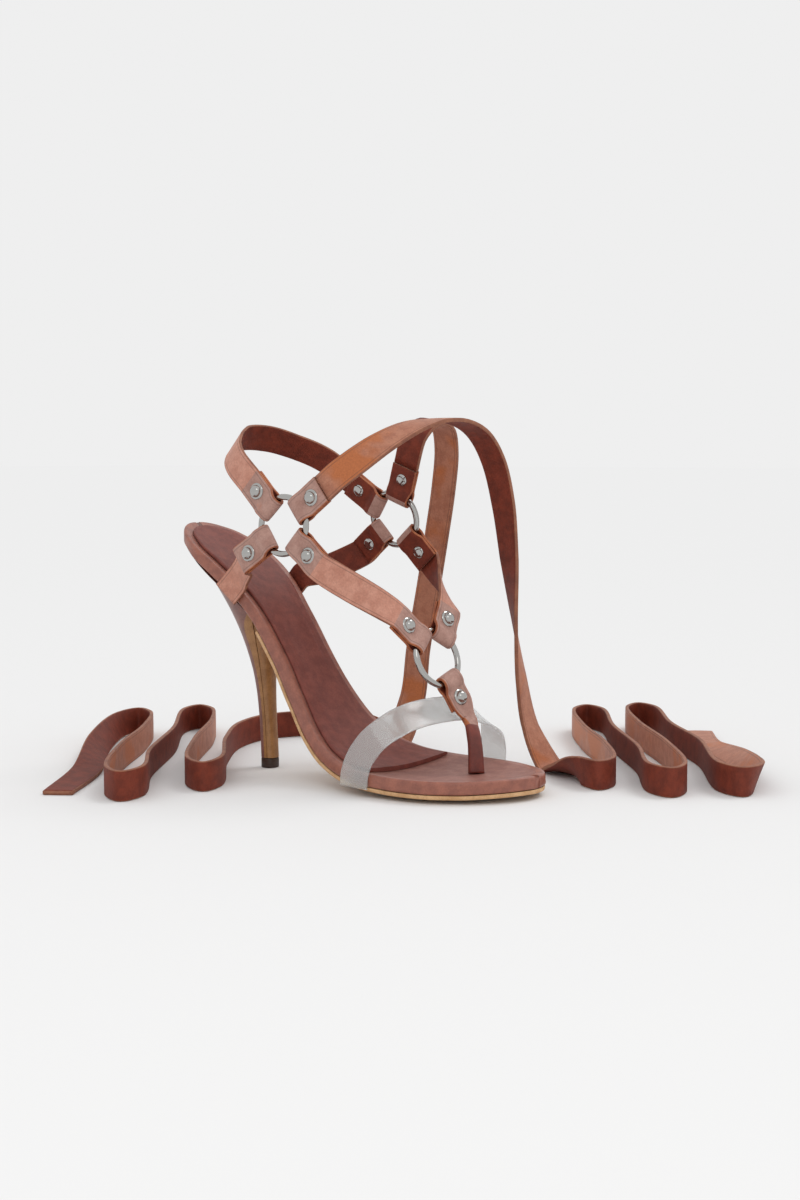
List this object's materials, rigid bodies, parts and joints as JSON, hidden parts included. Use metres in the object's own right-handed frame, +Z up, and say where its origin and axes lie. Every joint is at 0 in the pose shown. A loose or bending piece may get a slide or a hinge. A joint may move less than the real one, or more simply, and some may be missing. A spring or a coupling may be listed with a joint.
{
  "type": "gladiator sandal",
  "caption": "High-heeled thong sandal of riveted leather straps joined by metal rings, with a clear toe strap and long leather ties.",
  "frame": {"origin": "on the floor, at the middle of the shoe's own box, its ties left out", "axes": "+Z up, -Y along the shoe towards the toe, -X towards the outer (little toe) side of this right shoe, +X towards the inner side"},
  "size_m": [0.3648, 0.3792, 0.18],
  "materials": {
    "strap_leather": "rose-brown nubbed leather with a dark red-brown back",
    "tie_leather": "worn orange-tan leather with a dark red-brown back",
    "wrapped_leather": "smooth mauve-brown leather wrapped over the board and the heel",
    "sock_leather": "dark reddish brown padded leather",
    "outsole_leather": "cream-tan leather with a natural edge",
    "breast_leather": "tan leather",
    "heel_tip": "dark brown",
    "clear_vinyl": "clear soft vinyl, faintly grey",
    "nickel": "polished nickel plate"
  },
  "bodies": {
    "root": {"platform": "wrapped_leather", "sock": "sock_leather", "outsole": "outsole_leather", "heel": "wrapped_leather", "heel_breast": "breast_leather", "top_piece": "heel_tip", "ring_lateral": "nickel", "ring_medial": "nickel", "ring_instep": "nickel", "stud_ankle_l": "nickel", "stud_tie_l": "nickel", "stud_heel_l": "nickel", "stud_vamp_l": "nickel", "stud_ankle_m": "nickel", "stud_tie_m": "nickel", "stud_heel_m": "nickel", "stud_vamp_m": "nickel", "stud_vamp_l2": "nickel", "stud_vamp_m2": "nickel", "stud_toe": "nickel", "heel_strap_lateral": "strap_leather", "heel_strap_medial": "strap_leather", "ankle_strap": "strap_leather", "vamp_strap_lateral": "strap_leather", "vamp_strap_medial": "strap_leather", "toe_strap_post": "strap_leather", "clear_strap": "clear_vinyl", "tie_tab_lateral": "strap_leather", "tie_tab_medial": "strap_leather", "tie_lateral": "tie_leather", "tie_medial": "tie_leather"}
  },
  "joints": []
}
